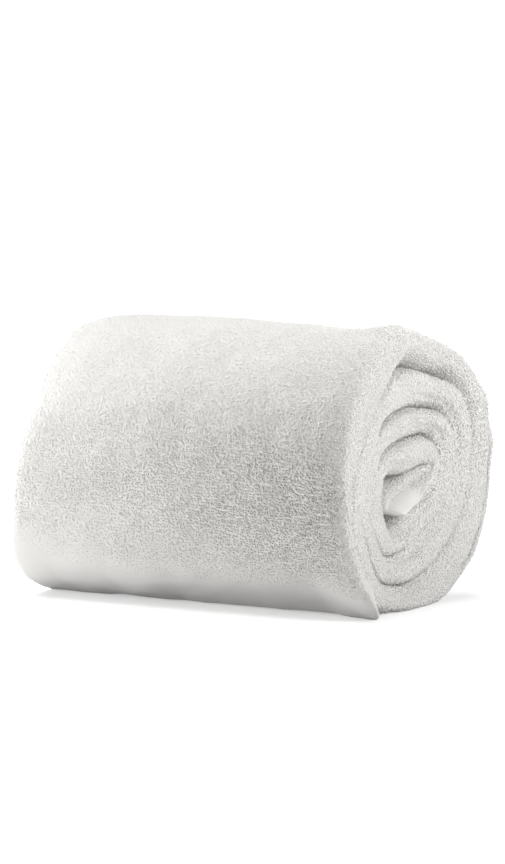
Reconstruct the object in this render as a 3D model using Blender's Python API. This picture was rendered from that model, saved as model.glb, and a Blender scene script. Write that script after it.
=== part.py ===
"""A thick bath towel, folded in thirds along its length and rolled up.

Metres, +Z up. The roll's axis runs along X and its open end looks along +X.
The loose outer end hangs down the front, which looks along -Y, and reaches the
surface that the roll rests on, at z = 0. The origin is under the roll's middle.

The towel is one strip, wound about a core. Directions about the core are in
degrees in the YZ plane: 0 is the back, 90 the top, 180 the front, 270 the bottom.
"Wound" counts the degrees from the loose end inward.
"""

import math

import bmesh
import bpy

# The rolled towel
ROLL_LENGTH = 0.256          # along X: the width of the towel folded in thirds
CORE_X = -0.0019             # sets the roll's length about the middle, flap and all
CORE_Y = -0.0240             # the axis that the strip is wound about
CORE_Z = 0.0750
TURN_GAP = 0.0008            # air between one turn and the next
STEP_DEG = 9.0               # wound angle from one cross-section to the next
LOOSE_END_DEG = 248.0        # direction of the loose end, at the bottom of the front
LAST_WOUND_DEG = 1269.0      # where the strip leaves the turns to fold back across the core

# Outer radius of each turn in millimetres, at these directions about the core.
# The last row is the hollow that the innermost turn leaves.
DIRECTIONS = (248, 225, 180, 135, 90, 60, 30, 0, -20, -45, -90)
TURN_RADII_MM = (
    # hem, low front, front, high front, top, high back (two), back, low back (two), bottom
    (81.0, 78.0, 75.5, 94.0, 110.5, 115.0, 133.0, 123.0, 114.5, 97.0, 76.0),
    (76.0, 68.0, 64.0, 63.0, 80.0, 87.0, 104.0, 89.0, 79.0, 67.5, 56.5),
    (55.0, 50.0, 48.0, 49.0, 53.5, 62.5, 79.5, 68.0, 51.5, 40.5, 36.8),
    (39.2, 35.5, 33.5, 33.0, 34.3, 42.0, 58.5, 44.5, 26.5, 21.0, 22.0),
    (18.5, 16.0, 16.0, 17.5, 14.0, 15.0, 26.0, 28.0, 25.0, 20.0, 19.0),
)

# The strip's inner end folds back at the back, and crosses the core as a blunt tongue.
# Millimetres from the core: the lower face's Y and Z, then the upper face's Y and Z.
TONGUE_MM = (
    (31.3, 36.4, 14.0, 12.6),
    (40.4, 33.6, 19.5, 13.7),
    (49.0, 29.4, 25.0, 14.9),
    (52.5, 22.8, 30.0, 16.2),
    (52.1, 15.6, 34.5, 17.4),
    (50.0, 9.2, 37.3, 17.8),
    (46.5, 3.8, 36.6, 16.6),
    (41.5, 0.0, 32.4, 15.0),
    (36.0, -3.0, 27.0, 13.4),
    (30.0, -5.6, 21.3, 12.0),
    (24.0, -8.3, 15.0, 10.5),
    (18.7, -9.8, 8.2, 7.0),
    (14.2, -11.4, 1.4, 4.2),
    (11.3, -12.4, -4.6, 1.2),
    (9.0, -13.1, -8.8, -1.8),
    (7.0, -13.6, -10.8, -5.4),
)

# The strip's folded edge: share of the thickness, measured from the inner face,
# and how far the edge stands back there in millimetres, where the fold hides all,
# and where the hem of the inner third shows as a second, lower lobe.
FOLDED_EDGE = (
    # share, fold, fold and hem
    (1.00, 9.0, 9.0),
    (0.93, 3.5, 3.3),
    (0.79, 0.7, 0.4),
    (0.61, 0.0, 0.4),
    (0.46, 0.4, 3.0),
    (0.37, 1.3, 6.8),
    (0.27, 2.7, 5.6),
    (0.13, 5.4, 6.6),
    (0.00, 10.0, 11.0),
)
HEM_SHOWS = (
    # wound, share
    (0, 0.0),
    (150, 0.0),
    (230, 0.0),
    (275, 0.3),
    (330, 0.0),
    (470, 0.0),
    (520, 0.2),
    (570, 0.2),
    (640, 0.4),
    (700, 0.2),
    (860, 0.1),
    (930, 0.2),
    (1000, 0.2),
    (1060, 0.1),
    (1200, 0.3),
    (1320, 0.2),
    (1350, 0.8),
    (1413, 1.0),
)
# The turns are pressed together at the front, where the grooves between them are shallow.
GROOVE_DEPTH = (
    # wound, share of FOLDED_EDGE's depth
    (0, 0.8),
    (23, 0.6),
    (50, 0.4),
    (75, 0.15),
    (120, 0.12),
    (146, 0.35),
    (160, 1.0),
    (196, 1.1),
    (208, 1.7),
    (228, 1.6),
    (242, 0.5),
    (282, 0.4),
    (298, 0.9),
    (336, 0.9),
    (370, 0.5),
    (400, 0.35),
    (440, 0.2),
    (475, 0.35),
    (492, 0.9),
    (520, 1.0),
    (545, 1.1),
    (557, 1.5),
    (582, 1.4),
    (598, 0.5),
    (615, 0.4),
    (632, 0.8),
    (650, 1.2),
    (692, 1.1),
    (725, 0.5),
    (770, 0.4),
    (815, 0.4),
    (845, 0.9),
    (870, 1.0),
    (945, 1.0),
    (962, 0.5),
    (975, 0.45),
    (992, 1.0),
    (1010, 1.3),
    (1058, 1.2),
    (1095, 0.5),
    (1175, 0.5),
    (1205, 0.9),
    (1235, 1.0),
    (1413, 1.0),
)
# How much wider than a plain fold the outer turn rounds off into the two ends.
NEAR_ROUNDING = (
    # wound, times the fold's depth
    (0, 1.0),
    (25, 1.3),
    (60, 1.9),
    (125, 2.0),
    (156, 1.2),
    (250, 1.2),
    (300, 1.7),
    (345, 2.0),
)
FAR_ROUNDING = (
    # wound, times the fold's depth
    (0, 1.5),
    (45, 1.1),
    (105, 1.1),
    (135, 2.7),
    (165, 2.9),
    (205, 2.0),
    (240, 1.4),
    (300, 1.0),
)
OUTER_FACE_SHARE = 0.61      # shares above this are the turn's outer shoulder
FULL_THICKNESS = 0.018       # the thickness that FOLDED_EDGE's depths are for
FACE_SHARES = (0.84, 0.66, 0.42, 0.18)   # more points along X, on the outer face only

# Where the outer turn lifts off the next one, at the top and the high back.
LIFT_MM = (
    # wound, extra gap
    (157, 0.0),
    (168, 1.2),
    (180, 1.0),
    (195, 1.6),
    (206, 3.0),
    (224, 3.0),
    (242, 1.0),
    (265, 0.0),
)

# How far the near folded edge of the strip stands out or back, by wound degrees.
EDGE_REACH_MM = (
    # wound, reach
    (0, -6.0),
    (2, -1.5),
    (5, 2.2),
    (13, 4.6),
    (22, 4.8),
    (33, 1.5),
    (48, -0.9),
    (70, -1.2),
    (90, -0.8),
    (150, -0.6),
    (159, -1.0),
    (167, -9.5),
    (175, -10.5),
    (190, -8.5),
    (202, -7.5),
    (211, -8.0),
    (217, -7.0),
    (223, -4.0),
    (229, -5.0),
    (237, -2.5),
    (262, -1.0),
    (335, -2.0),
    (400, -2.0),
    (450, -0.6),
    (500, -0.6),
    (540, -2.0),
    (600, -3.0),
    (760, -3.5),
    (860, -2.0),
    (980, -4.0),
    (1130, -5.0),
    (1250, -3.0),
    (1340, -3.5),
    (1413, -2.5),
)

# The far end leans: its radii against the near end's, at DIRECTIONS.
FAR_RADII_RATIO = (1.01, 1.22, 0.955, 0.8, 0.915, 0.95, 0.9, 0.94, 0.95, 0.96, 1.0)
LEAN_FROM_RADIUS = 0.060     # the lean fades towards the core inside this radius

# Long swells of the roll along its length: share of the length from the near end,
# and the change in radius over the top.
TOP_SWELL_MM = (
    # share, rise
    (0.00, 0.0),
    (0.18, -3.5),
    (0.40, -1.0),
    (0.70, 2.5),
    (1.00, 0.0),
)

# The near corner of the loose end flares out as a flap; the rest is tucked under.
FLAP_LENGTH = 0.040          # along X, from the near end
FLAP_TURNED_DEG = 34.0       # wound length of the flap
FLAP_FLARE = 0.0030
TUCK_DEPTH = 0.0050

TOWEL_COLOUR = (0.83, 0.82, 0.80, 1.0)
TOWEL_ROUGHNESS = 0.95


def smooth_step(value):
    value = min(1.0, max(0.0, value))
    return value * value * (3.0 - 2.0 * value)


def smooth_table(rows, place):
    """Reads a table of (place, value) rows along a smooth curve through them."""
    if place <= rows[0][0]:
        return rows[0][1]
    if place >= rows[-1][0]:
        return rows[-1][1]
    index = max(i for i, row in enumerate(rows) if row[0] <= place)
    start, end = rows[index], rows[index + 1]
    before = rows[max(index - 1, 0)]
    after = rows[min(index + 2, len(rows) - 1)]
    span = end[0] - start[0]
    share = (place - start[0]) / span
    slope_in = (end[1] - before[1]) / (end[0] - before[0]) * span
    slope_out = (after[1] - start[1]) / (after[0] - start[0]) * span
    cube, square = share ** 3, share ** 2
    return ((2 * cube - 3 * square + 1) * start[1] + (cube - 2 * square + share) * slope_in
            + (3 * square - 2 * cube) * end[1] + (cube - square) * slope_out)


def wound_radii():
    """Joins the turns' rows into one table of (wound degrees, radius)."""
    rows = []
    for turn, radii in enumerate(TURN_RADII_MM):
        for direction, radius in zip(DIRECTIONS, radii):
            rows.append((turn * 360.0 + LOOSE_END_DEG - direction, radius / 1000.0))
    return rows


def far_ratios():
    """The far end's ratios as one table round the roll, closed on itself."""
    rows = [(LOOSE_END_DEG - d, ratio) for d, ratio in zip(DIRECTIONS, FAR_RADII_RATIO)]
    return rows + [(360.0, FAR_RADII_RATIO[0])]


def strip_faces():
    """Lists (wound degrees, outer point, inner point) in the YZ plane about the core."""
    radii = wound_radii()
    faces = []
    wound = 0.0
    while wound <= LAST_WOUND_DEG:
        angle = math.radians(LOOSE_END_DEG - wound)
        outer = smooth_table(radii, wound)
        inner = smooth_table(radii, wound + 360.0) + TURN_GAP
        inner += smooth_table(LIFT_MM, wound) / 1000
        ray = (math.cos(angle), math.sin(angle))
        faces.append((wound, (outer * ray[0], outer * ray[1]), (inner * ray[0], inner * ray[1])))
        wound += STEP_DEG
    for low_y, low_z, high_y, high_z in TONGUE_MM:
        faces.append((wound, (low_y / 1000, low_z / 1000), (high_y / 1000, high_z / 1000)))
        wound += STEP_DEG
    return faces


def cross_section(wound, thickness):
    """Lists (x, share of thickness) round the strip, one row for each point."""
    depth = min(1.2, thickness / FULL_THICKNESS)
    near = ROLL_LENGTH / 2 + smooth_table(EDGE_REACH_MM, wound) / 1000
    far = -ROLL_LENGTH / 2 - smooth_table(EDGE_REACH_MM, (wound + 200.0) % 1300.0) / 4000
    hem = smooth_table(HEM_SHOWS, wound)
    pressed = smooth_table(GROOVE_DEPTH, wound)
    near_edge = []
    far_edge = []
    for share, fold, both in FOLDED_EDGE:
        back = (fold + (both - fold) * hem) / 1000 * depth
        free = wound < 360.0 and share > OUTER_FACE_SHARE
        near_back = back * (smooth_table(NEAR_ROUNDING, wound) if free else pressed)
        far_back = back * (smooth_table(FAR_ROUNDING, wound) if free else pressed)
        near_edge.append((near - near_back, share))
        far_edge.append((far + far_back, share))
    section = near_edge + [(0.0, 0.0)] + far_edge[::-1]
    section += [(far + (near - far) * (1.0 - share), 1.0) for share in FACE_SHARES]
    return section


def lean_and_swell(x, y, z, wound, ratios):
    """Moves a point of the even roll to where the leaning, uneven roll has it."""
    radius = math.hypot(y, z)
    along = min(1.0, max(0.0, 0.5 - x / ROLL_LENGTH))
    round_about = (LOOSE_END_DEG - math.degrees(math.atan2(z, y))) % 360.0
    inside = smooth_step(radius / LEAN_FROM_RADIUS)
    ratio = 1.0 + (smooth_table(ratios, round_about) - 1.0) * along * inside
    upward = max(0.0, z / radius) ** 2
    ratio += smooth_table(TOP_SWELL_MM, along) / 1000 / 0.1 * upward * inside
    if wound < FLAP_TURNED_DEG:
        turned = 1.0 - smooth_step(wound / FLAP_TURNED_DEG)
        corner = 1.0 - smooth_step(along * ROLL_LENGTH / FLAP_LENGTH)
        middle = math.sin(math.pi * min(1.0, wound / FLAP_TURNED_DEG))
        ratio += FLAP_FLARE / radius * corner * turned
        ratio -= TUCK_DEPTH / radius * (1.0 - corner) * middle
    return x, y * ratio, z * ratio


def towel_mesh():
    """Winds the strip's cross-section about the core as one closed solid."""
    ratios = far_ratios()
    build = bmesh.new()
    rings = []
    for wound, outer, inner in strip_faces():
        thickness = math.dist(outer, inner)
        ring = []
        for x, share in cross_section(wound, thickness):
            y = inner[0] + (outer[0] - inner[0]) * share
            z = inner[1] + (outer[1] - inner[1]) * share
            x, y, z = lean_and_swell(x, y, z, wound, ratios)
            ring.append(build.verts.new((CORE_X + x, CORE_Y + y, max(0.0, CORE_Z + z))))
        rings.append(ring)
    count = len(rings[0])
    for ring, after in zip(rings, rings[1:]):
        for i in range(count):
            j = (i + 1) % count
            build.faces.new((ring[i], ring[j], after[j], after[i]))
    build.faces.new(rings[0])
    build.faces.new(rings[-1])
    bmesh.ops.recalc_face_normals(build, faces=build.faces)
    mesh = bpy.data.meshes.new("rolled_towel")
    build.to_mesh(mesh)
    build.free()
    return mesh


def terry_material():
    material = bpy.data.materials.new("white_terry")
    material.use_nodes = True
    surface = material.node_tree.nodes["Principled BSDF"]
    surface.inputs["Base Color"].default_value = TOWEL_COLOUR
    surface.inputs["Roughness"].default_value = TOWEL_ROUGHNESS
    surface.inputs["Metallic"].default_value = 0.0
    return material


def main():
    for old in list(bpy.data.objects):
        bpy.data.objects.remove(old, do_unlink=True)
    mesh = towel_mesh()
    mesh.materials.append(terry_material())
    mesh.shade_smooth()
    mesh.set_sharp_from_angle(angle=math.radians(50))
    towel = bpy.data.objects.new("rolled_towel", mesh)
    bpy.context.scene.collection.objects.link(towel)


main()
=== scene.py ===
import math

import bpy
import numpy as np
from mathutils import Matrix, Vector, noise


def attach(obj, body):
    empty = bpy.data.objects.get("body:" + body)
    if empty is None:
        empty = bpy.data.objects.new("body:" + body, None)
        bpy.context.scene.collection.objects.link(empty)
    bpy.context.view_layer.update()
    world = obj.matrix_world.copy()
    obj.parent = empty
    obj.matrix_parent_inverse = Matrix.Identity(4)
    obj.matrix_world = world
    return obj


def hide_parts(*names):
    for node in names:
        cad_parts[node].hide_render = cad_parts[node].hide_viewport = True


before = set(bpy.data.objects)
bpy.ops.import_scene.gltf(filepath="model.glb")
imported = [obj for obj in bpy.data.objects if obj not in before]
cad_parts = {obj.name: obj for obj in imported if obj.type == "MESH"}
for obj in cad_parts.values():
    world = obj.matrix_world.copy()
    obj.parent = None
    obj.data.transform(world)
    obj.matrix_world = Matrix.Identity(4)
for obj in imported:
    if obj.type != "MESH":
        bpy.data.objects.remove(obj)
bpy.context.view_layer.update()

# A thick white bath towel, folded in thirds along its length and rolled up.
# Metres, +Z up. The roll lies along X, and its open end looks along +X.
# The towel is one strip wound about a core: "wound" is in degrees from the loose end inward.

scene = bpy.context.scene
print("frame loaded")

cameraValues = {
    "azimuth": 32.0,
    "elevation": 6.5,
    "lens": 207.0,
    "filmWidth": 36.0,
    "distance": 3.195,                       # from the middle of the open end
    "endMiddle": (0.1261, -0.0085, 0.091),
    "endPixel": (418, 470),                  # where that point shows in the picture
    "picture": (505, 864),
}

rollValues = {
    "length": 0.256,
    "coreX": -0.0019,
    "coreY": -0.0240,
    "coreZ": 0.0750,
    "turnGap": 0.0006,
    "looseEnd": 248.0,           # direction of the loose end, at the bottom of the front
    "lastWound": 1269.0,         # where the strip leaves the turns to fold back across the core
    "tableStep": 9.0,            # wound degrees between the tongue's rows, and between points of the turns
    "leanFromRadius": 0.060,
    "topRadius": 0.1,            # the radius that the swell over the top is for
    "outerStep": 1.8,            # wound degrees between cross-sections, on the outer turn
    "innerStep": 3.0,
    "crownPoints": 23,           # round each folded edge
    "faceColumns": 58,           # along X, between the two folded edges
    "hiddenColumns": 3,          # the same on the face that looks inward
    "hemRound": 0.0025,          # the rounding of the loose end
    "hemRadius": 0.08,           # how far the loose end lies from the core
    "hemThinnest": 0.02,         # share of the thickness squared that the very end keeps
    "outerUntil": 330.0,         # the outer face shows up to here, in wound degrees
    "outerFade": 25.0,
    "pileRoom": 0.0009,          # the cloth lies this far inside, where its pile stands up
}

# Outer radius of each turn in millimetres, at these directions about the core.
directions = (248, 225, 180, 135, 90, 60, 30, 0, -20, -45, -90)
turnRadii = (
    # hem, low front, front, high front, top, high back (two), back, low back (two), bottom
    (81.0, 78.0, 75.5, 94.0, 110.5, 115.0, 133.0, 123.0, 114.5, 97.0, 76.0),
    (76.0, 68.0, 64.0, 63.0, 80.0, 87.0, 104.0, 89.0, 79.0, 67.5, 56.5),
    (55.0, 50.0, 48.0, 49.0, 53.5, 62.5, 79.5, 68.0, 51.5, 40.5, 36.8),
    (39.2, 35.5, 33.5, 33.0, 34.3, 42.0, 58.5, 44.5, 26.5, 21.0, 22.0),
    (18.5, 16.0, 16.0, 17.5, 14.0, 15.0, 26.0, 28.0, 25.0, 20.0, 19.0),
)
farRatio = (1.01, 1.20, 0.955, 0.80, 0.915, 0.95, 0.90, 0.94, 0.95, 0.96, 1.00)

# The strip's inner end in millimetres from the core: a fold at the back, then a blunt tongue.
tongue = (
    # lower Y, lower Z, upper Y, upper Z
    (31.3, 36.4, 14.0, 12.6),
    (40.4, 33.6, 19.5, 13.7),
    (49.0, 29.4, 25.0, 14.9),
    (52.5, 22.8, 30.0, 16.2),
    (52.1, 15.6, 34.5, 17.4),
    (50.0, 9.2, 37.3, 17.8),
    (46.5, 3.8, 36.6, 16.6),
    (41.5, 0.0, 32.4, 15.0),
    (36.0, -3.0, 27.0, 13.4),
    (30.0, -5.6, 21.3, 12.0),
    (24.0, -8.3, 15.0, 10.5),
    (18.7, -9.8, 8.2, 7.0),
    (14.2, -11.4, 1.4, 4.2),
    (11.3, -12.4, -4.6, 1.2),
    (9.0, -13.1, -8.8, -1.8),
    (7.0, -13.6, -10.8, -5.4),
)

# The folded edge in section: share of the thickness from the inner face, and how far the
# edge stands back there in millimetres, as a plain fold and where the inner hem shows too.
foldedEdge = (
    # share, fold, fold and hem
    (1.00, 9.5, 9.5),
    (0.94, 3.6, 3.4),
    (0.80, 0.8, 0.5),
    (0.62, 0.0, 0.4),
    (0.47, 0.5, 3.2),
    (0.38, 1.4, 7.6),
    (0.28, 2.8, 5.8),
    (0.13, 5.6, 6.6),
    (0.00, 10.5, 11.5),
)
edgeValues = {
    "fullThickness": 0.018,      # the thickness that those depths are for
    "deepest": 1.2,              # the most that a thicker turn deepens them
    "sharpest": 0.55,            # thicker turns go into their grooves more sharply, down to this
    "sharpening": 1.3,
    "freeShare": 0.61,           # past this share the outer turn rounds off freely
    "freeSharpening": 0.5,
    "slopeUntil": 220.0,         # up to here the outer turn slopes softly into its groove
    "slopeFade": 20.0,
    "farFrom": 200.0,            # the far end stands out like the near one this far on, but less
    "farSpan": 1300.0,
    "farShare": 0.25,
}
hemShows = (
    # wound, share
    (0, 0.0), (150, 0.0), (230, 0.0), (275, 0.3), (330, 0.0), (470, 0.0), (520, 0.2), (570, 0.2),
    (640, 0.4), (700, 0.2), (860, 0.1), (930, 0.2), (1000, 0.2), (1060, 0.1), (1200, 0.3), (1320, 0.2),
    (1350, 0.8), (1413, 1.0),
)
grooveDepth = (
    # wound, share of the folded edge's depth
    (0, 0.8), (23, 0.6), (50, 0.4), (75, 0.15), (120, 0.12), (146, 0.35), (160, 1.2), (196, 1.4),
    (208, 1.7), (228, 1.7), (240, 1.2), (254, 0.5), (282, 0.4), (298, 0.9), (336, 0.9), (370, 0.5),
    (400, 0.35), (440, 0.2), (475, 0.35), (492, 0.9), (520, 1.0), (545, 1.1), (557, 1.5), (582, 1.5),
    (594, 1.0), (606, 0.5), (617, 0.4), (632, 0.8), (650, 1.2), (672, 1.5), (692, 1.3), (725, 0.5),
    (770, 0.4), (815, 0.4), (845, 0.9), (870, 1.0), (945, 1.0), (962, 0.5), (975, 0.45), (992, 1.0),
    (1010, 1.4), (1035, 1.7), (1058, 1.4), (1095, 0.5), (1175, 0.5), (1205, 0.9), (1235, 1.0),
    (1413, 1.0),
)
shoulderRound = (
    # wound, how much wider the outer turn rounds off into the open end than the plain fold
    (0, 1.0), (25, 1.3), (60, 1.9), (125, 2.0), (156, 1.2), (250, 1.2), (300, 1.7), (345, 2.0),
)
farRound = (
    # the same at the far end
    (0, 2.0), (45, 1.4), (95, 1.1), (128, 2.7), (165, 2.9), (205, 2.0), (240, 1.4), (300, 1.0),
)
outerLift = (
    # wound, millimetres that the outer turn stands off the next one
    (157, 0.0), (168, 1.2), (180, 1.0), (195, 1.6), (206, 3.0), (224, 3.0), (242, 1.0), (265, 0.0),
)
edgeReach = (
    # wound, millimetres that the near folded edge stands out
    (0, -6.0), (2, -1.5), (5, 2.2), (13, 4.6), (22, 4.8), (33, 1.5), (48, -0.9), (70, -1.2),
    (90, -0.8), (150, -0.6), (159, -1.0), (167, -9.5), (175, -10.5), (190, -8.5), (202, -7.5),
    (211, -8.0), (217, -7.0), (223, -4.0), (229, -5.0), (237, -2.5), (262, -1.0), (335, -2.0),
    (400, -2.0), (450, -0.6), (500, -0.6), (540, -2.0), (600, -3.0), (760, -3.5), (860, -2.0),
    (980, -4.0), (1130, -5.0), (1250, -3.0), (1340, -3.5), (1413, -2.5),
)
topSwell = (
    # share of the length from the near end, millimetres of rise over the top
    (0.00, 0.0), (0.18, -3.5), (0.40, -1.0), (0.70, 2.5), (1.00, 0.0),
)

flapValues = {
    "length": 0.040,             # along X, from the near end
    "turned": 34.0,              # wound degrees
    "flare": 0.0030,
    "tuck": 0.0050,
}

unevenValues = {
    # metres from one soft swell to the next, height, place in the noise
    "wide": (0.050, 0.0016, 3.1),
    "small": (0.014, 0.0007, 7.7),
    "edge": (0.019, 0.0018, 12.3),
    "warpY": (0.034, 0.0022, 21.0),      # the turns wander in and out together
    "warpZ": (0.034, 0.0022, 34.0),
    "warpRadius": 0.095,
}
# Soft creases and ridges on the outer face.
creases = (
    # x, wound, half length, turned from X in degrees, half width, rise, all but the angles in metres
    (-0.060, 108.0, 0.050, 12.0, 0.010, 0.0013),
    (-0.075, 92.0, 0.045, 16.0, 0.009, -0.0011),
    (-0.020, 64.0, 0.060, -8.0, 0.016, -0.0007),
    (0.085, 122.0, 0.030, -30.0, 0.009, -0.0012),
    (0.070, 60.0, 0.045, 62.0, 0.014, -0.0009),
    (-0.058, 27.0, 0.018, 84.0, 0.004, -0.0008),
    (0.020, 150.0, 0.070, 6.0, 0.014, 0.0012),
    (-0.030, 225.0, 0.060, -14.0, 0.013, -0.0015),
    (0.050, 262.0, 0.050, 20.0, 0.011, 0.0013),
    (-0.070, 285.0, 0.045, -25.0, 0.012, -0.0012),
)

borderValues = {
    # how far round the flat-woven border above the hem goes, by share of the length from the near end
    "top": ((0.0, 15.0), (0.12, 17.0), (0.3, 19.0), (0.5, 20.0), (0.8, 28.0), (1.0, 38.0)),
    "fade": 20.0,
    "innerStart": 1358.0,        # the border at the strip's inner end
    "innerFade": 14.0,
    "innerShare": 0.36,          # of the thickness there that is pile, towards the upper side
}

pileValues = {
    "spacing": 0.00186,
    "scatter": 0.38,             # how far a loop strays from its place, as a share of the spacing
    "rowStep": 0.0035,           # metres from one cross-section of the cloth to the next
    "height": 0.00085,
    "heights": (0.65, 1.25),     # least and most of it
    "foot": 0.00090,             # half the distance between a loop's two feet
    "feet": (0.75, 1.2),
    "yarn": 0.00052,             # half the yarn's thickness
    "yarns": (0.85, 1.15),
    "borderHeight": 0.35,        # what is left of the height where the pile runs out
    "borderYarn": 0.6,
    "sunk": 0.0006,              # how far the feet stand in the cloth
    "curl": 0.0004,              # how far a loop's top swings aside
    "lean": 0.45,                # how far a loop leans aside, as a share of its height
    "turn": 0.9,                 # how far loops turn from lying along X, in radians
    "sides": 3,
    "tone": (0.55, 0.45),        # of a loop's top over its feet, by its own random tint and for every loop; the feet keep pileShade, painted shade between the loops
    "faceMargin": 0.0045,        # how far the pile shows between two turns, past the folded edge
    "farKept": 0.88,             # share of the loops that the far end keeps
    "leastPile": 0.12,           # no loops where the cloth has less pile
    "floorRoom": 0.0012,         # none so near the floor where the cloth faces down
    "facingDown": -0.7,
    "floorGap": 0.0002,
    "seed": 11,
    # how tall and thick the loops stand: pressed flat on top, rough on the front
    "tallness": ((0, 0.65), (25, 0.75), (42, 1.0), (58, 1.55), (90, 1.65), (106, 1.3), (122, 0.85),
                 (150, 0.5), (215, 0.45), (260, 0.7), (330, 0.85)),
    "nearTallness": 0.6,         # how far the loops on top stand up again at the near end
    "endTallness": 0.7,          # on the two ends
    "farTallness": 0.28,         # at the far end, as a share of the near end
    # wound degrees at which the next piece of the pile starts
    "coreFrom": 610.0,
    "topFrom": 112.0,
    "highBackFrom": 205.0,
    "lowBackFrom": 268.0,
    "mapMargin": 0.15,           # round each loop's place on the map
}
loopPath = (
    # along the loop, height, swing
    (-1.0, 0.0, 0.0),
    (0.0, 1.0, 1.0),
    (1.0, 0.0, 0.0),
)

colours = {
    "pile": (0.93, 0.918, 0.895, 1.0),
    # pileShade: painted shade at the loops' feet and in the fibres' hollows, and the darker side of their
    # random patches
    "pileShade": (0.80, 0.788, 0.765, 1.0),
    "ground": (0.82, 0.81, 0.79, 1.0),       # the cloth between the loops, darker than the loops: painted shade between them
    # groundShade: painted shade in the ground's curl hollows, and the darker side of its random patches
    "groundShade": (0.72, 0.71, 0.69, 1.0),
    "weave": (0.80, 0.79, 0.77, 1.0),
    # weaveShade: painted shade in the weave's dips
    "weaveShade": (0.75, 0.74, 0.72, 1.0),
    "floor": (0.75, 0.75, 0.75, 1.0),
}

textureValues = {
    "patchScale": 40.0,
    "curlScale": 480.0,          # of the cloth between the loops
    "fibreScale": 1600.0,        # of the loops
    "threads": 6500.0,           # radians of weave to the metre
    # strength, metres
    "threadBump": (0.35, 0.0004),
    "curlBump": (0.8, 0.0012),
    "fibreBump": (0.5, 0.0004),
}

lightValues = {
    "world": 0.03,
    "floorGlow": 0.42,
    "sunStrength": 3.1,
    "sunAngle": 60.0,
    "sunFrom": (-0.45, 0.05, 1.0),
    "areas": (
        # name, place, size, watts
        ("leftSoft", (-0.52, -0.48, 0.055), 0.45, 4.5),
        ("endSoft", (1.3, 0.02, 0.8), 0.8, 15.3),
    ),
    "aim": (0.0, 0.0, 0.09),
}


def addCamera():
    values = cameraValues
    azimuth = math.radians(values["azimuth"])
    elevation = math.radians(values["elevation"])
    back = Vector((math.sin(azimuth) * math.cos(elevation),
                   -math.cos(azimuth) * math.cos(elevation),
                   math.sin(elevation)))
    right = Vector((math.cos(azimuth), math.sin(azimuth), 0.0))
    up = back.cross(right)
    pixelsPerMetre = values["lens"] / values["filmWidth"] * values["picture"][1] / values["distance"]
    aside = (values["endPixel"][0] - values["picture"][0] / 2) / pixelsPerMetre
    below = (values["endPixel"][1] - values["picture"][1] / 2) / pixelsPerMetre
    place = Vector(values["endMiddle"]) + back * values["distance"] - right * aside + up * below
    data = bpy.data.cameras.new("camera")
    data.lens = values["lens"]
    data.sensor_width = values["filmWidth"]
    data.clip_start = 0.1
    data.clip_end = 100.0
    camera = bpy.data.objects.new("camera", data)
    camera.location = place
    camera.rotation_euler = back.to_track_quat("Z", "Y").to_euler()
    scene.collection.objects.link(camera)
    scene.camera = camera


def smoothStep(value):
    value = np.clip(value, 0.0, 1.0)
    return value * value * (3.0 - 2.0 * value)


# Reads a table of (place, value) rows along a smooth curve through them.
def readTable(rows, places):
    at, value = np.array(rows, float).T
    slope = np.empty_like(value)
    slope[1:-1] = (value[2:] - value[:-2]) / (at[2:] - at[:-2])
    slope[0] = (value[1] - value[0]) / (at[1] - at[0])
    slope[-1] = (value[-1] - value[-2]) / (at[-1] - at[-2])
    places = np.clip(np.asarray(places, float), at[0], at[-1])
    index = np.clip(np.searchsorted(at, places, side="right") - 1, 0, len(at) - 2)
    span = at[index + 1] - at[index]
    share = (places - at[index]) / span
    cube = share ** 3
    square = share ** 2
    fromStart = (2 * cube - 3 * square + 1) * value[index]
    fromStart += (cube - 2 * square + share) * span * slope[index]
    fromEnd = (3 * square - 2 * cube) * value[index + 1] + (cube - square) * span * slope[index + 1]
    return fromStart + fromEnd


# The strip's outer and inner face about the core, at each wound angle.
def windFaces(stations):
    values = rollValues
    rows = []
    for turn, radii in enumerate(turnRadii):
        for direction, radius in zip(directions, radii):
            rows.append((turn * 360.0 + values["looseEnd"] - direction, radius / 1000.0))
    wound = np.arange(0.0, values["lastWound"] + 0.1, values["tableStep"])
    angle = np.radians(values["looseEnd"] - wound)
    outer = readTable(rows, wound)
    inner = readTable(rows, wound + 360.0) + values["turnGap"] + readTable(outerLift, wound) / 1000.0
    faces = np.stack((outer * np.cos(angle), outer * np.sin(angle),
                      inner * np.cos(angle), inner * np.sin(angle)), axis=1)
    faces = np.vstack((faces, np.array(tongue) / 1000.0))
    at = np.arange(len(faces)) * values["tableStep"]
    return [readTable(np.stack((at, column), axis=1), stations) for column in faces.T]


def woundStations():
    values = rollValues
    last = values["lastWound"] + len(tongue) * values["tableStep"]
    hem = [0.0, 0.5, 1.1]
    outer = np.arange(values["outerStep"], 360.0, values["outerStep"])
    inner = np.arange(360.0, last + 0.1, values["innerStep"])
    return np.concatenate((hem, outer, inner))


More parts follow.
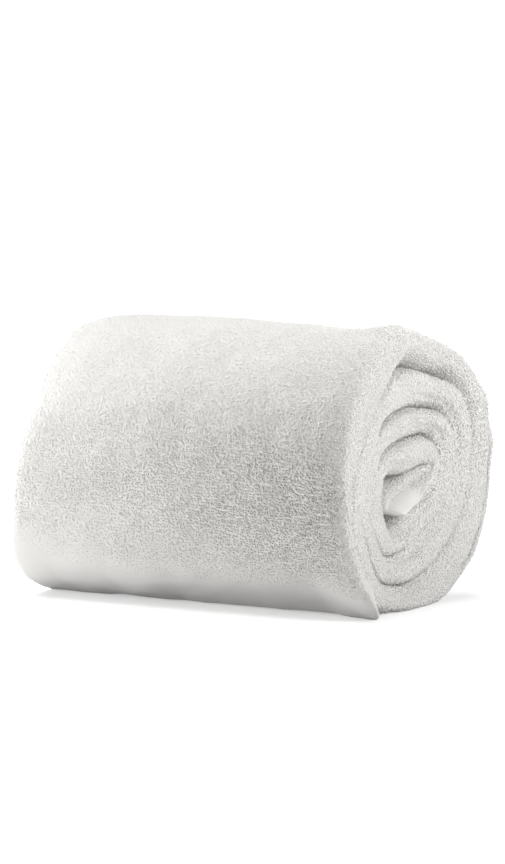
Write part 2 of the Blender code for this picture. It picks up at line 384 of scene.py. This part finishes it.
# Lays out the strip's ring at every station: near folded edge from its inner to its outer face,
# outer face, far folded edge, inner face. Gives x and the share of the thickness.
def ringLayout(stations, thickness):
    values = rollValues
    edge = edgeValues
    order = np.arange(len(foldedEdge))
    steps = np.linspace(0, len(foldedEdge) - 1, values["crownPoints"])
    shares, folds, hems = (readTable(np.stack((order, column), axis=1), steps)
                           for column in np.array(foldedEdge).T)
    hem = readTable(hemShows, stations)[:, None]
    pressed = readTable(grooveDepth, stations)[:, None]
    free = (stations[:, None] < 360.0) & (shares[None, :] > edge["freeShare"])
    nearRounder = readTable(shoulderRound, stations)[:, None]
    farRounder = readTable(farRound, stations)[:, None]
    deeper = np.minimum(edge["deepest"], thickness / edge["fullThickness"])[:, None]
    back = (folds + (hems - folds) * hem) / 1000.0 * deeper
    thinner = np.clip(edge["fullThickness"] / thickness, edge["sharpest"], 1.0)[:, None]
    tighter = thinner ** edge["sharpening"]
    sloped = 1.0 - smoothStep((edge["slopeUntil"] - stations[:, None]) / edge["slopeFade"])
    nearTighter = np.where(free, tighter ** edge["freeSharpening"], tighter ** sloped)
    farTighter = np.where(free, 1.0, tighter)
    fromMiddle = 2.0 * shares[None, :] - 1.0
    nearShare = 0.5 + 0.5 * np.sign(fromMiddle) * np.abs(fromMiddle) ** nearTighter
    farShare = 0.5 + 0.5 * np.sign(fromMiddle) * np.abs(fromMiddle) ** farTighter
    near = values["length"] / 2 + readTable(edgeReach, stations)[:, None] / 1000.0
    farReach = readTable(edgeReach, (stations + edge["farFrom"]) % edge["farSpan"])[:, None] / 1000.0
    far = -values["length"] / 2 - farReach * edge["farShare"]
    nearEdge = (near - back * np.where(free, nearRounder, pressed))[:, ::-1]
    farEdge = far + back * np.where(free, farRounder, pressed)
    across = np.linspace(0.0, 1.0, values["faceColumns"] + 2)[None, 1:-1]
    outerFace = nearEdge[:, -1:] + (farEdge[:, :1] - nearEdge[:, -1:]) * across
    across = np.linspace(0.0, 1.0, values["hiddenColumns"] + 2)[None, 1:-1]
    innerFace = farEdge[:, -1:] + (nearEdge[:, :1] - farEdge[:, -1:]) * across
    x = np.hstack((nearEdge, outerFace, farEdge, innerFace))
    rows = len(stations)
    share = np.hstack((nearShare[:, ::-1], np.ones((rows, values["faceColumns"])), farShare,
                       np.zeros((rows, values["hiddenColumns"]))))
    return x, share


# Moves the even roll's points to where the leaning, uneven roll has them.
def leanAndSwell(x, y, z, stations):
    values = rollValues
    rows = [(values["looseEnd"] - d, ratio) for d, ratio in zip(directions, farRatio)]
    rows.append((360.0, farRatio[0]))
    radius = np.hypot(y, z)
    along = np.clip(0.5 - x / values["length"], 0.0, 1.0)
    roundAbout = (values["looseEnd"] - np.degrees(np.arctan2(z, y))) % 360.0
    inside = smoothStep(radius / values["leanFromRadius"])
    ratio = 1.0 + (readTable(rows, roundAbout) - 1.0) * along * inside
    upward = np.maximum(0.0, z / radius) ** 2
    ratio += readTable(topSwell, along) / 1000.0 / values["topRadius"] * upward * inside
    flap = flapValues
    wound = np.broadcast_to(stations[:, None], x.shape)
    turned = 1.0 - smoothStep(wound / flap["turned"])
    corner = 1.0 - smoothStep(along * values["length"] / flap["length"])
    middle = np.sin(math.pi * np.minimum(1.0, wound / flap["turned"]))
    ratio += np.where(wound < flap["turned"], flap["flare"] / radius * corner * turned, 0.0)
    ratio -= np.where(wound < flap["turned"], flap["tuck"] / radius * (1.0 - corner) * middle, 0.0)
    return y * ratio, z * ratio


def gridNormals(points):
    around = np.roll(points, -1, axis=1) - np.roll(points, 1, axis=1)
    onward = np.gradient(points, axis=0)
    normals = np.cross(onward, around)
    return normals / np.maximum(np.linalg.norm(normals, axis=2, keepdims=True), 1e-12)


# The height of one kind of unevenness at each point.
def unevenAt(points, kind):
    scale, height, shift = unevenValues[kind]
    flat = points.reshape(-1, 3) / scale + shift
    found = np.array([noise.noise(Vector(place)) for place in flat])
    return found.reshape(points.shape[:-1]) * height


# Metres walked from point to point.
def walkAlong(points):
    return np.concatenate(((0.0,), np.cumsum(np.linalg.norm(np.diff(points, axis=0), axis=1))))


# Metres along the strip at every station, on its outer face.
def stripLength(points):
    return walkAlong(points[:, points.shape[1] // 3])


# How far each ring place shows: the two folded edges, and the outer face of the outer turn.
def whatShows(stations):
    values = rollValues
    crown = values["crownPoints"]
    columns = values["faceColumns"]
    onEdge = np.sin(np.linspace(0.0, math.pi, crown))
    shown = np.concatenate((onEdge, np.zeros(columns), onEdge, np.zeros(values["hiddenColumns"])))
    places = np.arange(len(shown))
    outerHalf = (places >= crown // 2) & (places <= crown + columns + crown // 2)
    fade = 1.0 - smoothStep((stations - values["outerUntil"]) / values["outerFade"])
    return np.maximum(shown[None, :], outerHalf[None, :] * fade[:, None])


def addCreases(rise, x, stations, strip):
    for atX, atWound, halfLength, turned, halfWidth, height in creases:
        sideways = x - atX
        onward = strip[:, None] - np.interp(atWound, stations, strip)
        cosine = math.cos(math.radians(turned))
        sine = math.sin(math.radians(turned))
        lengthwise = (sideways * cosine + onward * sine) / halfLength
        crosswise = (onward * cosine - sideways * sine) / halfWidth
        rise += height * np.exp(-lengthwise ** 2 - crosswise ** 2) * (stations[:, None] < 360.0)


# How much pile the cloth has at each point: none on the flat-woven borders.
def pileShare(x, share, stations):
    border = borderValues
    along = np.clip(0.5 - x / rollValues["length"], 0.0, 1.0)
    pile = smoothStep((stations[:, None] - readTable(border["top"], along)) / border["fade"])
    innerEnd = border["innerStart"] + border["innerFade"]
    inner = smoothStep((innerEnd - stations[:, None]) / border["innerFade"])
    return pile * np.where(share < border["innerShare"], 1.0, inner)


# The wound cloth as a grid of points: a row for each station, a column for each ring place.
def clothGrid():
    values = rollValues
    stations = woundStations()
    outerY, outerZ, innerY, innerZ = windFaces(stations)
    thickness = np.hypot(outerY - innerY, outerZ - innerZ)
    x, share = ringLayout(stations, thickness)
    fromEnd = np.clip(np.radians(stations) * values["hemRadius"] / values["hemRound"], 0.0, 1.0)
    blunt = np.sqrt(np.clip(1.0 - (1.0 - fromEnd) ** 2, values["hemThinnest"], 1.0))[:, None]
    share = 0.5 + (share - 0.5) * blunt
    y = innerY[:, None] + (outerY - innerY)[:, None] * share
    z = innerZ[:, None] + (outerZ - innerZ)[:, None] * share
    y, z = leanAndSwell(x, y, z, stations)
    even = np.stack((x, y, z), axis=2)
    within = np.clip(1.0 - (np.hypot(y, z) / unevenValues["warpRadius"]) ** 4, 0.0, 1.0)
    y = y + unevenAt(even, "warpY") * within
    z = z + unevenAt(even, "warpZ") * within
    points = np.stack((x + values["coreX"], y + values["coreY"], z + values["coreZ"]), axis=2)
    normals = gridNormals(points)

    shown = whatShows(stations)
    edge = unevenAt(points, "edge")
    rise = unevenAt(points, "wide") + unevenAt(points, "small")
    addCreases(rise, x, stations, stripLength(points))
    rise *= shown
    onEnds = np.abs(normals[:, :, 0]) * shown
    points = points + normals * rise[:, :, None]
    points[:, :, 0] += np.sign(points[:, :, 0]) * edge * onEnds

    pile = pileShare(x, share, stations)
    points -= normals * (values["pileRoom"] * pile * shown)[:, :, None]
    points[:, :, 2] = np.maximum(points[:, :, 2], 0.0)
    return {"stations": stations, "points": points, "pile": pile}


def meshFromArrays(name, points, faces):
    mesh = bpy.data.meshes.new(name)
    mesh.vertices.add(len(points))
    mesh.vertices.foreach_set("co", np.ascontiguousarray(points, np.float32).ravel())
    sizes = np.concatenate([np.full(len(block), block.shape[1]) for block in faces])
    mesh.loops.add(int(sizes.sum()))
    corners = np.concatenate([block.ravel() for block in faces])
    mesh.loops.foreach_set("vertex_index", corners.astype(np.int32))
    mesh.polygons.add(len(sizes))
    starts = np.concatenate(((0,), np.cumsum(sizes)[:-1]))
    mesh.polygons.foreach_set("loop_start", starts.astype(np.int32))
    mesh.update(calc_edges=True)
    mesh.validate()
    mesh.shade_smooth()
    piece = bpy.data.objects.new(name, mesh)
    scene.collection.objects.link(piece)
    return piece


def addCloth(grid):
    points = grid["points"]
    rows, ring = points.shape[:2]
    index = np.arange(rows * ring).reshape(rows, ring)
    after = np.roll(index, -1, axis=1)
    quads = np.stack((index[:-1], index[1:], after[1:], after[:-1]), axis=2).reshape(-1, 4)
    hemCap = index[0][None, :]
    innerCap = index[-1][::-1][None, :]
    piece = meshFromArrays("towelCloth", points.reshape(-1, 3), [quads, hemCap, innerCap])
    mesh = piece.data
    mask = mesh.attributes.new("pileMask", "FLOAT", "POINT")
    mask.data.foreach_set("value", grid["pile"].astype(np.float32).ravel())

    # the cloth's own map: metres along X and along the strip
    across = points[:, :, 0]
    strip = np.broadcast_to(stripLength(points)[:, None], across.shape)
    clothMap = np.stack((across, strip), axis=2).reshape(-1, 2)
    corner = np.empty(len(mesh.loops), np.int32)
    mesh.loops.foreach_get("vertex_index", corner)
    layer = mesh.uv_layers.new(name="clothMap")
    layer.data.foreach_set("uv", clothMap[corner].astype(np.float32).ravel())

    # a second map that gives every face its own place
    spotAcross = np.broadcast_to(np.arange(ring) / ring, (rows, ring))
    spotOnward = np.broadcast_to((np.arange(rows) / rows)[:, None], (rows, ring))
    spot = np.stack((spotAcross, spotOnward), axis=2).reshape(-1, 2)
    flat = spot[corner]
    seam = (corner % ring == 0)
    seam[: len(quads) * 4] &= np.repeat((quads % ring == ring - 1).any(axis=1), 4)
    seam[len(quads) * 4:] = False
    flat[seam, 0] = 1.0
    layer = mesh.uv_layers.new(name="OFBake")
    layer.data.foreach_set("uv", flat.astype(np.float32).ravel())
    mesh.uv_layers.active = mesh.uv_layers["clothMap"]
    return piece


# Reads the grid between its points, at fractional rows and columns.
def readGrid(values, row, column):
    row = np.clip(row, 0, values.shape[0] - 1.001)
    column = np.clip(column, 0, values.shape[1] - 1.001)
    r = row.astype(int)
    c = column.astype(int)
    a = row - r
    b = column - c
    if values.ndim == 3:
        a = a[:, None]
        b = b[:, None]
    low = values[r, c] * (1 - b) + values[r, c + 1] * b
    high = values[r + 1, c] * (1 - b) + values[r + 1, c + 1] * b
    return low * (1 - a) + high * a


def woundAt(grid, spots):
    return np.interp(spots[:, 0], np.arange(len(grid["stations"])), grid["stations"])


# Spreads the feet of the loops evenly over the cloth that shows, as grid rows and columns.
def spreadLoops(grid, random):
    values = pileValues
    spacing = values["spacing"]
    scatter = values["scatter"]
    points = grid["points"]
    stations = grid["stations"]
    crown = rollValues["crownPoints"]
    path = 2 * crown + rollValues["faceColumns"]
    last = len(stations) - 1
    edgeStep = np.linalg.norm(np.diff(points[:, crown // 2], axis=0), axis=1)
    faceStep = np.linalg.norm(np.diff(points[:, path // 2], axis=0), axis=1)
    length = np.concatenate(((0.0,), np.cumsum(np.where(stations[:-1] < 360.0, faceStep, edgeStep))))
    found = []
    for row in np.interp(np.arange(0.0, length[-1], spacing), length, np.arange(last + 1)):
        low = int(row)
        ring = points[low, :path] * (1 - row + low) + points[min(low + 1, last), :path] * (row - low)
        walked = walkAlong(ring)
        places = np.arange(random.uniform(0, spacing), walked[-1], spacing)
        if stations[low] >= 360.0:
            nearEnd = walked[crown] + values["faceMargin"]
            farStart = walked[path - crown] - values["faceMargin"]
            places = places[(places < nearEnd) | (places > farStart)]
        places = places + random.uniform(-scatter, scatter, len(places)) * spacing
        columns = np.interp(places, walked, np.arange(path))
        rows = row + random.uniform(-scatter, scatter, len(columns)) * spacing / values["rowStep"]
        found.append(np.stack((rows, columns), axis=1))
    found = np.concatenate(found)
    found[:, 0] = np.clip(found[:, 0], 0.0, last)
    return found


# Gives every piece of the pile its loops.
def sharePile(grid, normals, random):
    values = pileValues
    spots = spreadLoops(grid, random)
    size = readGrid(grid["pile"], *spots.T)
    foot = readGrid(grid["points"], *spots.T)
    out = readGrid(normals, *spots.T)
    laidOn = (foot[:, 2] < values["floorRoom"]) & (out[:, 2] < values["facingDown"])
    spots = spots[(size > values["leastPile"]) & ~laidOn]
    wound = woundAt(grid, spots)
    crown = rollValues["crownPoints"]
    onNear = spots[:, 1] < crown
    onFar = spots[:, 1] > crown + rollValues["faceColumns"]
    onFace = ~onNear & ~onFar
    onTop = (wound >= values["topFrom"]) & (wound < values["highBackFrom"])
    onHighBack = (wound >= values["highBackFrom"]) & (wound < values["lowBackFrom"])
    return {
        "pileNearEnd": spots[onNear & (wound < values["coreFrom"])],
        "pileNearCore": spots[onNear & (wound >= values["coreFrom"])],
        "pileFarEnd": spots[onFar & (random.random(len(spots)) < values["farKept"])],
        "pileFront": spots[onFace & (wound < values["topFrom"])],
        "pileTop": spots[onFace & onTop],
        "pileHighBack": spots[onFace & onHighBack],
        "pileLowBack": spots[onFace & (wound >= values["lowBackFrom"])],
    }


# How tall each loop stands at its place, as a share of the full height.
def loopTallness(grid, spots, foot, out):
    values = pileValues
    tallness = readTable(values["tallness"], woundAt(grid, spots))
    along = np.clip(0.5 - foot[:, 0] / rollValues["length"], 0.0, 1.0)
    tallness += (values["endTallness"] - tallness) * np.abs(out[:, 0])
    raised = values["nearTallness"] * np.clip(1.0 - 2.0 * along, 0.0, 1.0)
    tallness = np.maximum(tallness, tallness + (1.0 - tallness) * raised)
    return tallness * (1.0 - (1.0 - values["farTallness"]) * along)


# The loops' skins: a ring of points at every stop along each loop.
def loopSkins(grid, normals, spots, random):
    values = pileValues
    count = len(spots)
    foot = readGrid(grid["points"], *spots.T)
    out = readGrid(normals, *spots.T)
    out /= np.linalg.norm(out, axis=1, keepdims=True)
    size = readGrid(grid["pile"], *spots.T)
    turn = random.normal(0.0, values["turn"], count)
    alongX = np.abs(out[:, :1]) < 0.8
    helper = np.where(alongX, np.array([[1.0, 0.0, 0.0]]), np.array([[0.0, 0.0, 1.0]]))
    second = np.cross(out, helper)
    second /= np.linalg.norm(second, axis=1, keepdims=True)
    first = np.cross(second, out)
    way = first * np.cos(turn)[:, None] + second * np.sin(turn)[:, None]
    side = np.cross(out, way)
    up = out + side * (random.uniform(-1.0, 1.0, count)[:, None] * values["lean"])
    up /= np.linalg.norm(up, axis=1, keepdims=True)

    fuller = values["borderHeight"] + (1.0 - values["borderHeight"]) * size
    tall = values["height"] * random.uniform(*values["heights"], count) * fuller
    tall = tall * loopTallness(grid, spots, foot, out)
    half = values["foot"] * random.uniform(*values["feet"], count)
    curl = values["curl"] * random.uniform(-1.0, 1.0, count)
    across, height, swing = np.array(loopPath).T
    aside = side[:, None, :]
    centre = foot[:, None, :] - out[:, None, :] * values["sunk"]
    centre = centre + way[:, None, :] * (across * half[:, None])[:, :, None]
    centre = centre + up[:, None, :] * (height * (tall + values["sunk"])[:, None])[:, :, None]
    centre = centre + aside * (swing * curl[:, None])[:, :, None]
    tangent = np.empty_like(centre)
    tangent[:, 1:-1] = centre[:, 2:] - centre[:, :-2]
    tangent[:, 0] = centre[:, 1] - centre[:, 0]
    tangent[:, -1] = centre[:, -1] - centre[:, -2]
    tangent /= np.linalg.norm(tangent, axis=2, keepdims=True)
    bend = aside - tangent * np.sum(aside * tangent, axis=2, keepdims=True)
    bend /= np.linalg.norm(bend, axis=2, keepdims=True)
    rise = np.cross(tangent, bend)

    thicker = values["borderYarn"] + (1.0 - values["borderYarn"]) * size
    yarn = values["yarn"] * random.uniform(*values["yarns"], count) * thicker
    angles = 2.0 * math.pi * np.arange(values["sides"]) / values["sides"] + math.pi / 2
    spread = bend[:, :, None, :] * np.cos(angles)[None, None, :, None]
    spread = spread + rise[:, :, None, :] * np.sin(angles)[None, None, :, None]
    skins = centre[:, :, None, :] + spread * yarn[:, None, None, None]
    skins[..., 2] = np.maximum(skins[..., 2], values["floorGap"])
    return skins


# One loop's walls, and the caps of its two feet.
def loopFaces():
    sides = pileValues["sides"]
    gaps = len(loopPath) - 1
    walls = []
    for stop in range(gaps):
        low = stop * sides
        high = low + sides
        for k in range(sides):
            j = (k + 1) % sides
            walls.append((low + k, low + j, high + j, high + k))
    caps = (range(sides - 1, -1, -1), range(gaps * sides, (gaps + 1) * sides))
    return np.array(walls), np.array(caps)


# Each loop has a square of its own on the map, with its feet's caps in one corner.
def loopMap(count):
    margin = pileValues["mapMargin"]
    stops = len(loopPath)
    top = stops - 1
    cells = int(math.ceil(math.sqrt(count)))
    square = np.stack((np.arange(count) % cells, np.arange(count) // cells), axis=1) / cells
    walls = []
    for stop in range(top):
        for k in range(pileValues["sides"]):
            walls.append(((k, stop), (k + 1, stop), (k + 1, stop + 1), (k, stop + 1)))
    caps = (((0, top), (1, top), (0, top + 0.8)), ((1.5, top), (2.5, top), (1.5, top + 0.8)))
    parts = []
    for places in (walls, caps):
        places = (np.array(places) + margin) / (stops + margin) / cells
        parts.append((square[:, None, None, :] + places[None]).reshape(-1, 2))
    return np.concatenate(parts)


def addPile(name, grid, normals, spots, random):
    count = len(spots)
    sides = pileValues["sides"]
    each = len(loopPath) * sides
    skins = loopSkins(grid, normals, spots, random)
    walls, caps = loopFaces()
    base = (np.arange(count) * each)[:, None, None]
    quads = (base + walls[None]).reshape(-1, 4)
    ends = (base + caps[None]).reshape(-1, sides)
    piece = meshFromArrays(name, skins.reshape(-1, 3), [quads, ends])
    mesh = piece.data
    tint = np.repeat(random.uniform(0.0, 1.0, count), each)
    rise = np.tile(np.repeat(np.array(loopPath)[:, 1], sides), count)
    byTint, footShadeDepth = pileValues["tone"]
    # yarnShade runs from 0 at a loop's feet to its top: painted shade at the feet, a random tint on top
    shade = mesh.attributes.new("yarnShade", "FLOAT", "POINT")
    shade.data.foreach_set("value", (byTint * tint * rise + footShadeDepth * rise).astype(np.float32))
    layer = mesh.uv_layers.new(name="OFBake")
    layer.data.foreach_set("uv", loopMap(count).astype(np.float32).ravel())
    return piece


def addSocket(group, name, kind, inOut, value=None):
    socket = group.interface.new_socket(name=name, in_out=inOut, socket_type=kind)
    if value is not None:
        socket.default_value = value
    return socket


# Pile: soft patches of random tone, and curls a few millimetres across; the colour darkens where the
# curls' height is low, painted shade in their hollows.
def makePileGroup():
    group = bpy.data.node_groups.new("terryPile", "ShaderNodeTree")
    addSocket(group, "Colour", "NodeSocketColor", "INPUT", colours["pile"])
    addSocket(group, "Shade", "NodeSocketColor", "INPUT", colours["pileShade"])
    addSocket(group, "Patch Scale", "NodeSocketFloat", "INPUT", textureValues["patchScale"])
    addSocket(group, "Curl Scale", "NodeSocketFloat", "INPUT", textureValues["curlScale"])
    addSocket(group, "Colour", "NodeSocketColor", "OUTPUT")
    addSocket(group, "Height", "NodeSocketFloat", "OUTPUT")
    nodes = group.nodes
    links = group.links
    given = nodes.new("NodeGroupInput")
    result = nodes.new("NodeGroupOutput")
    place = nodes.new("ShaderNodeTexCoord")
    patches = nodes.new("ShaderNodeTexNoise")
    patches.inputs["Detail"].default_value = 3.0
    curls = nodes.new("ShaderNodeTexNoise")
    curls.inputs["Detail"].default_value = 2.0
    curls.inputs["Distortion"].default_value = 1.2
    # half the soft random patches, half the curls' height: the shade colour in the curls' hollows is
    # painted shade
    tone = nodes.new("ShaderNodeMath")
    tone.operation = "MULTIPLY_ADD"
    tone.inputs[1].default_value = 0.5
    total = nodes.new("ShaderNodeMath")
    total.operation = "MULTIPLY"
    total.inputs[1].default_value = 0.5
    mix = nodes.new("ShaderNodeMix")
    mix.data_type = "RGBA"
    links.new(place.outputs["Object"], patches.inputs["Vector"])
    links.new(place.outputs["Object"], curls.inputs["Vector"])
    links.new(given.outputs["Patch Scale"], patches.inputs["Scale"])
    links.new(given.outputs["Curl Scale"], curls.inputs["Scale"])
    links.new(curls.outputs["Fac"], total.inputs[0])
    links.new(patches.outputs["Fac"], tone.inputs[0])
    links.new(total.outputs[0], tone.inputs[2])
    links.new(tone.outputs[0], mix.inputs["Factor"])
    links.new(given.outputs["Shade"], mix.inputs["A"])
    links.new(given.outputs["Colour"], mix.inputs["B"])
    links.new(mix.outputs["Result"], result.inputs["Colour"])
    links.new(curls.outputs["Fac"], result.inputs["Height"])
    return group


# Flat weave: fine crossing threads on the cloth's own map; the colour darkens where the threads' height is
# low, painted shade in the weave's dips.
def makeWeaveGroup():
    group = bpy.data.node_groups.new("flatWeave", "ShaderNodeTree")
    addSocket(group, "Colour", "NodeSocketColor", "INPUT", colours["weave"])
    addSocket(group, "Shade", "NodeSocketColor", "INPUT", colours["weaveShade"])
    addSocket(group, "Threads", "NodeSocketFloat", "INPUT", textureValues["threads"])
    addSocket(group, "Colour", "NodeSocketColor", "OUTPUT")
    addSocket(group, "Height", "NodeSocketFloat", "OUTPUT")
    nodes = group.nodes
    links = group.links
    given = nodes.new("NodeGroupInput")
    result = nodes.new("NodeGroupOutput")
    cloth = nodes.new("ShaderNodeUVMap")
    cloth.uv_map = "clothMap"
    bigger = nodes.new("ShaderNodeVectorMath")
    bigger.operation = "SCALE"
    apart = nodes.new("ShaderNodeSeparateXYZ")
    links.new(cloth.outputs["UV"], bigger.inputs[0])
    links.new(given.outputs["Threads"], bigger.inputs["Scale"])
    links.new(bigger.outputs[0], apart.inputs[0])
    waves = []
    for axis in ("X", "Y"):
        wave = nodes.new("ShaderNodeMath")
        wave.operation = "SINE"
        links.new(apart.outputs[axis], wave.inputs[0])
        waves.append(wave)
    crossing = nodes.new("ShaderNodeMath")
    crossing.operation = "MULTIPLY"
    links.new(waves[0].outputs[0], crossing.inputs[0])
    links.new(waves[1].outputs[0], crossing.inputs[1])
    half = nodes.new("ShaderNodeMath")
    half.operation = "MULTIPLY_ADD"
    half.inputs[1].default_value = 0.5
    half.inputs[2].default_value = 0.5
    links.new(crossing.outputs[0], half.inputs[0])
    # the shade colour where the weave is low: painted shade in its dips
    mix = nodes.new("ShaderNodeMix")
    mix.data_type = "RGBA"
    links.new(half.outputs[0], mix.inputs["Factor"])
    links.new(given.outputs["Shade"], mix.inputs["A"])
    links.new(given.outputs["Colour"], mix.inputs["B"])
    links.new(mix.outputs["Result"], result.inputs["Colour"])
    links.new(half.outputs[0], result.inputs["Height"])
    return group


def cottonSurface(name):
    material = bpy.data.materials.new(name)
    material.use_nodes = True
    nodes = material.node_tree.nodes
    surface = nodes["Principled BSDF"]
    surface.inputs["Roughness"].default_value = 0.95
    surface.inputs["Specular IOR Level"].default_value = 0.15
    surface.inputs["Sheen Weight"].default_value = 0.5
    surface.inputs["Sheen Roughness"].default_value = 0.6
    return material, nodes, material.node_tree.links, surface


def addBump(nodes, links, height, values):
    bump = nodes.new("ShaderNodeBump")
    bump.inputs["Strength"].default_value, bump.inputs["Distance"].default_value = values
    links.new(height, bump.inputs["Height"])
    return bump.outputs["Normal"]


def clothMaterial(pileGroup, weaveGroup):
    material, nodes, links, surface = cottonSurface("cottonCloth")
    pile = nodes.new("ShaderNodeGroup")
    pile.node_tree = pileGroup
    # the ground, darker than the loops and darker still in its curls' hollows: painted shade between the
    # loops
    pile.inputs["Colour"].default_value = colours["ground"]
    pile.inputs["Shade"].default_value = colours["groundShade"]
    weave = nodes.new("ShaderNodeGroup")
    weave.node_tree = weaveGroup
    mask = nodes.new("ShaderNodeAttribute")
    mask.attribute_name = "pileMask"
    tone = nodes.new("ShaderNodeMix")
    tone.data_type = "RGBA"
    links.new(mask.outputs["Fac"], tone.inputs["Factor"])
    links.new(weave.outputs["Colour"], tone.inputs["A"])
    links.new(pile.outputs["Colour"], tone.inputs["B"])
    links.new(tone.outputs["Result"], surface.inputs["Base Color"])
    threads = addBump(nodes, links, weave.outputs["Height"], textureValues["threadBump"])
    curls = addBump(nodes, links, pile.outputs["Height"], textureValues["curlBump"])
    normal = nodes.new("ShaderNodeMix")
    normal.data_type = "VECTOR"
    links.new(mask.outputs["Fac"], normal.inputs["Factor"])
    links.new(threads, normal.inputs["A"])
    links.new(curls, normal.inputs["B"])
    links.new(normal.outputs["Result"], surface.inputs["Normal"])
    return material


def pileMaterial(pileGroup):
    material, nodes, links, surface = cottonSurface("cottonPile")
    pile = nodes.new("ShaderNodeGroup")
    pile.node_tree = pileGroup
    pile.inputs["Curl Scale"].default_value = textureValues["fibreScale"]
    # darker towards each loop's feet by yarnShade: painted shade between the loops
    shade = nodes.new("ShaderNodeAttribute")
    shade.attribute_name = "yarnShade"
    tone = nodes.new("ShaderNodeMix")
    tone.data_type = "RGBA"
    tone.inputs["A"].default_value = colours["pileShade"]
    links.new(shade.outputs["Fac"], tone.inputs["Factor"])
    links.new(pile.outputs["Colour"], tone.inputs["B"])
    links.new(tone.outputs["Result"], surface.inputs["Base Color"])
    fibres = addBump(nodes, links, pile.outputs["Height"], textureValues["fibreBump"])
    links.new(fibres, surface.inputs["Normal"])
    return material


def dress(piece, material):
    piece.data.materials.append(material)
    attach(piece, "root")
    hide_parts("rolled_towel")


def addFloor():
    bpy.ops.object.select_all(action="DESELECT")
    bpy.ops.mesh.primitive_plane_add(size=60.0, location=(0.0, 0.0, 0.0))
    floor = bpy.context.object
    floor.name = "floor"
    material = bpy.data.materials.new("paleFloor")
    material.use_nodes = True
    nodes = material.node_tree.nodes
    surface = nodes["Principled BSDF"]
    surface.inputs["Base Color"].default_value = colours["floor"]
    surface.inputs["Roughness"].default_value = 1.0
    surface.inputs["Specular IOR Level"].default_value = 0.0
    seen = nodes.new("ShaderNodeLightPath")
    glow = nodes.new("ShaderNodeMath")
    glow.operation = "MULTIPLY"
    glow.inputs[1].default_value = lightValues["floorGlow"]
    material.node_tree.links.new(seen.outputs["Is Camera Ray"], glow.inputs[0])
    surface.inputs["Emission Color"].default_value = (1.0, 1.0, 1.0, 1.0)
    material.node_tree.links.new(glow.outputs[0], surface.inputs["Emission Strength"])
    floor.data.materials.append(material)


def addLights():
    values = lightValues
    world = bpy.data.worlds.new("world")
    scene.world = world
    world.use_nodes = True
    nodes = world.node_tree.nodes
    sky = nodes["Background"]
    sky.inputs["Color"].default_value = (1.0, 1.0, 1.0, 1.0)
    seen = nodes.new("ShaderNodeLightPath")
    level = nodes.new("ShaderNodeMapRange")
    level.inputs["To Min"].default_value = values["world"]
    level.inputs["To Max"].default_value = 1.0
    world.node_tree.links.new(seen.outputs["Is Camera Ray"], level.inputs["Value"])
    world.node_tree.links.new(level.outputs["Result"], sky.inputs["Strength"])
    sunData = bpy.data.lights.new("topSun", "SUN")
    sunData.energy = values["sunStrength"]
    sunData.angle = math.radians(values["sunAngle"])
    sun = bpy.data.objects.new("topSun", sunData)
    sun.rotation_euler = Vector(values["sunFrom"]).to_track_quat("Z", "Y").to_euler()
    scene.collection.objects.link(sun)
    for name, place, size, watts in values["areas"]:
        data = bpy.data.lights.new(name, "AREA")
        data.shape = "SQUARE"
        data.size = size
        data.energy = watts
        lamp = bpy.data.objects.new(name, data)
        lamp.location = place
        lamp.rotation_euler = (Vector(place) - Vector(values["aim"])).to_track_quat("Z", "Y").to_euler()
        scene.collection.objects.link(lamp)


addCamera()
print("camera placed")

grid = clothGrid()
cloth = addCloth(grid)
print("cloth wound:", len(cloth.data.polygons), "faces")

pileGroup = makePileGroup()
dress(cloth, clothMaterial(pileGroup, makeWeaveGroup()))

random = np.random.default_rng(pileValues["seed"])
normals = gridNormals(grid["points"])
pileLook = pileMaterial(pileGroup)
for name, spots in sharePile(grid, normals, random).items():
    dress(addPile(name, grid, normals, spots, random), pileLook)
    print(name, len(spots), "loops")

addLights()
addFloor()
scene.view_settings.view_transform = "Standard"
print("lights and floor placed")
